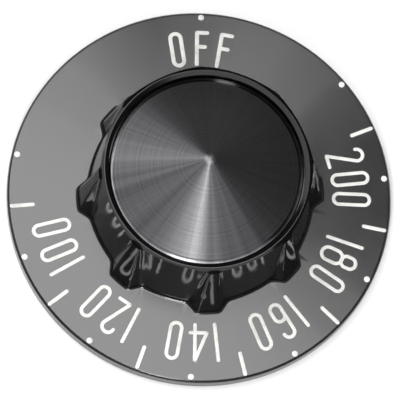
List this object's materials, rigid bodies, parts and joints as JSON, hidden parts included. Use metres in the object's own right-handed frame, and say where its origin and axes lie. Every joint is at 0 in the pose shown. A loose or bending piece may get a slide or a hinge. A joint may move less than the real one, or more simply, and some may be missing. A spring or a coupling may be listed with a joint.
{
  "type": "thermostat knob",
  "caption": "Black round dial knob with white temperature figures, a lobed grip, a spun aluminium cap and a sprung hub that pushes onto a flatted thermostat shaft.",
  "frame": {"origin": "centre of the skirt's back face, on the shaft axis", "axes": "+Z along the shaft axis from the back to the cap, +Y to the OFF mark, +X to the right seen from the front"},
  "size_m": [0.0572, 0.0572, 0.0216],
  "materials": {
    "black_phenolic": "moulded black phenolic, satin on the skirt and glossy on the grip",
    "spun_aluminium": "spun with fine concentric lines, dark anodised",
    "spring_steel": "blued strip",
    "figure_paint": "white filling paint in the figures, ticks and dots"
  },
  "bodies": {
    "root": {"knob_body": "black_phenolic", "cap_disc": "spun_aluminium", "shaft_spring": "spring_steel"}
  },
  "joints": []
}
